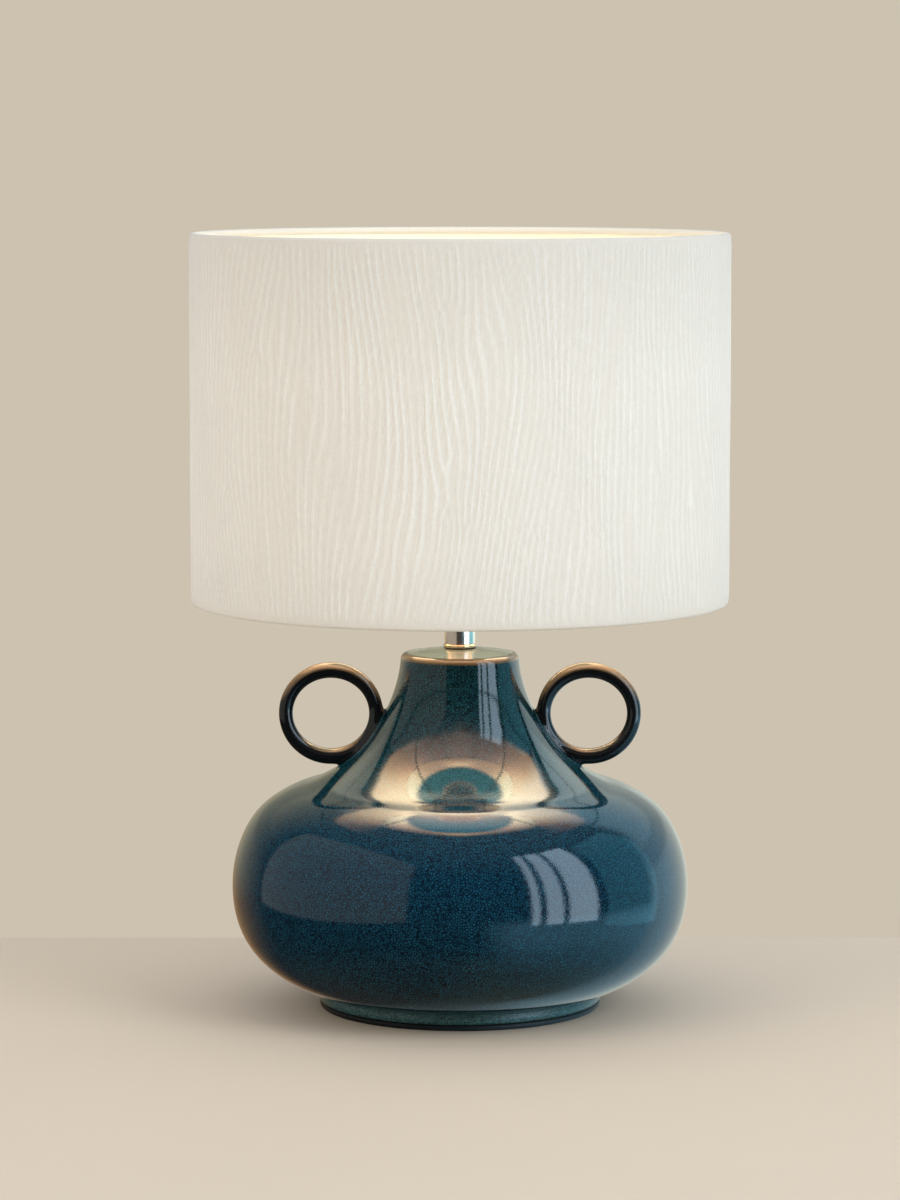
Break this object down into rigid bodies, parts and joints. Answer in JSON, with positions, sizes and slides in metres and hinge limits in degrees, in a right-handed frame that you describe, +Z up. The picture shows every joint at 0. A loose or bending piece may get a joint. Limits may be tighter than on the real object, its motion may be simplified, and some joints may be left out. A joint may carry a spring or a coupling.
{
  "type": "table lamp",
  "caption": "Table lamp: squat glazed ceramic vessel with a flared neck and ring handles, under a wide fabric drum shade, with a push-bar lampholder and a globe bulb.",
  "frame": {"origin": "on the table under the middle of the foot", "axes": "+Z up along the lamp's axis, +X to the right seen from the front, the front faces -Y and the flex bush is at the back, towards +Y"},
  "size_m": [0.35, 0.3499, 0.5063],
  "materials": {
    "glaze": "glossy",
    "ring_glaze": "glossy",
    "pad_rubber": "satin",
    "black_plastic": "satin",
    "polished_brass": "polished",
    "polished_steel": "polished",
    "zinc_steel": "satin",
    "holder_plastic": "satin",
    "insert_plastic": "satin",
    "contact_brass": "satin",
    "white_wire": "satin",
    "shade_cloth": "matte",
    "shade_lining": "matte",
    "bulb_glass_button": "glossy",
    "nickel": "satin",
    "bulb_plastic": "satin",
    "opal_globe": "opal"
  },
  "bodies": {
    "base": {"lamp_body": "glaze", "handle_ring_left": "ring_glaze", "handle_ring_right": "ring_glaze", "base_pad": "pad_rubber", "cord_bush": "black_plastic", "neck_cushion": "pad_rubber", "check_ring": "polished_brass", "neck_tube": "polished_steel", "threaded_nipple": "zinc_steel", "inner_washer": "zinc_steel", "lock_washer": "zinc_steel", "nipple_nut": "zinc_steel", "holder_cap": "holder_plastic", "holder_shell": "holder_plastic", "holder_insert": "insert_plastic", "screw_shell": "contact_brass", "centre_contact": "contact_brass", "contact_rivets": "contact_brass", "terminal_blocks": "contact_brass", "shade_seat_ring": "holder_plastic", "shade_clamp_ring": "holder_plastic"},
    "switch": {"push_bar": "holder_plastic"},
    "shade": {"shade_spider": "white_wire", "shade_top_ring": "white_wire", "shade_fabric": "shade_cloth", "shade_liner": "shade_lining"},
    "bulb_contact": {"bulb_tip": "contact_brass"},
    "bulb": {"bulb_insulator": "bulb_glass_button", "bulb_cap": "nickel", "bulb_housing": "bulb_plastic", "bulb_globe": "opal_globe"}
  },
  "joints": [
    {"name": "switch_slide", "type": "slide", "parent": "base", "child": "switch", "axis": [-1, 0, 0], "range_m": [0, 0.006]},
    {"name": "shade_turn", "type": "hinge", "parent": "base", "child": "shade", "pos_m": [0, 0, 0.2888], "axis": [0, 0, 1], "continuous": true},
    {"name": "bulb_out", "type": "slide", "parent": "base", "child": "bulb_contact", "axis": [0, 0, 1], "range_m": [0, 0.01815]},
    {"name": "bulb_turn", "type": "hinge", "parent": "bulb_contact", "child": "bulb", "pos_m": [0, 0, 0.2975], "axis": [0, 0, 1], "range_deg": [0, 1800]}
  ],
  "couplings": [
    {"joint": "bulb_turn", "follows": "bulb_out", "rad_per_m": 1731.4}
  ]
}
